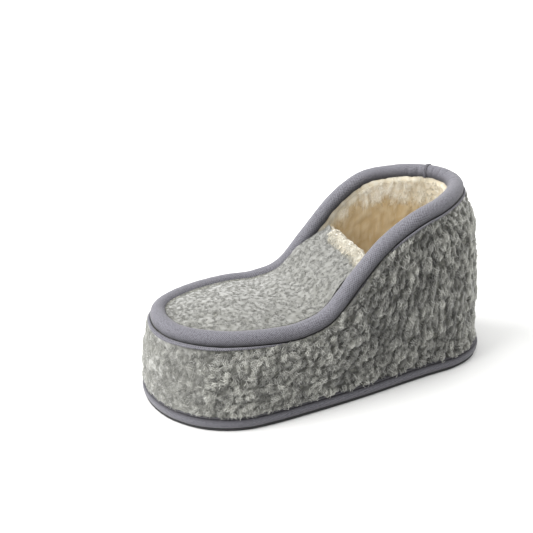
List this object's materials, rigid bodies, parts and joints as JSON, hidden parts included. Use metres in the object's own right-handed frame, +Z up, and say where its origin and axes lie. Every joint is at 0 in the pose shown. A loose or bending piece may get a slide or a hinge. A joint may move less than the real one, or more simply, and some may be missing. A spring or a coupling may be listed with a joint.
{
  "type": "wool slipper",
  "caption": "Ankle-high slipper for the left foot: curly wool sides, napped vamp, thick rolled cloth bindings at top and sole, pale fleece inside, flat thin outsole.",
  "frame": {"origin": "centre of the slipper's box, on the floor under its outsole", "axes": "+X from heel to toe, +Y to the wearer's left, which is the outer side of the foot, +Z up"},
  "size_m": [0.267, 0.111, 0.1439],
  "materials": {
    "outsole_sheet": "matte",
    "binding_cloth": "matte woven",
    "lining_fleece": "soft pile",
    "wool_fleece": "curly wool pile"
  },
  "bodies": {
    "root": {"outsole": "outsole_sheet", "sole_binding": "binding_cloth", "insole": "lining_fleece", "upper": "wool_fleece", "top_binding": "binding_cloth"}
  },
  "joints": []
}
